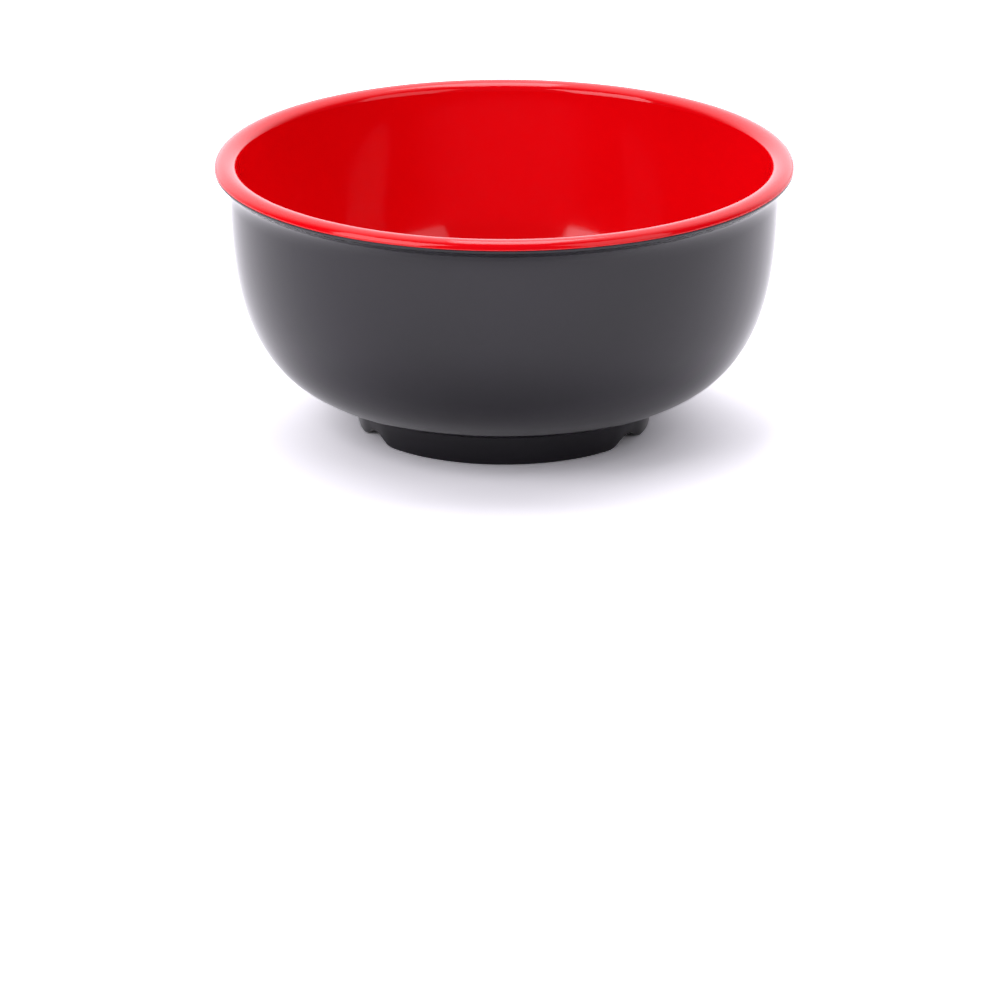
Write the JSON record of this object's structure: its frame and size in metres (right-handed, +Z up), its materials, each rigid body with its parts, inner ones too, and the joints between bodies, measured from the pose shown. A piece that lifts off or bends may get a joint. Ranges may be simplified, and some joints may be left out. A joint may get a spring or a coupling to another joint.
{
  "type": "soup bowl",
  "caption": "Round melamine soup bowl: black outer shell on a notched foot ring, red liner that rolls over a flared lip; holds soup or noodles.",
  "frame": {"origin": "centre of the circle that the foot ring stands on, at the table", "axes": "+Z up along the bowl's axis of revolution, through the mouth; -Y towards the picture's camera"},
  "size_m": [0.2, 0.2, 0.095],
  "materials": {
    "black_melamine": "polished black moulded melamine",
    "red_melamine": "polished red moulded melamine"
  },
  "bodies": {
    "root": {"outer_shell": "black_melamine", "inner_liner": "red_melamine"}
  },
  "joints": []
}
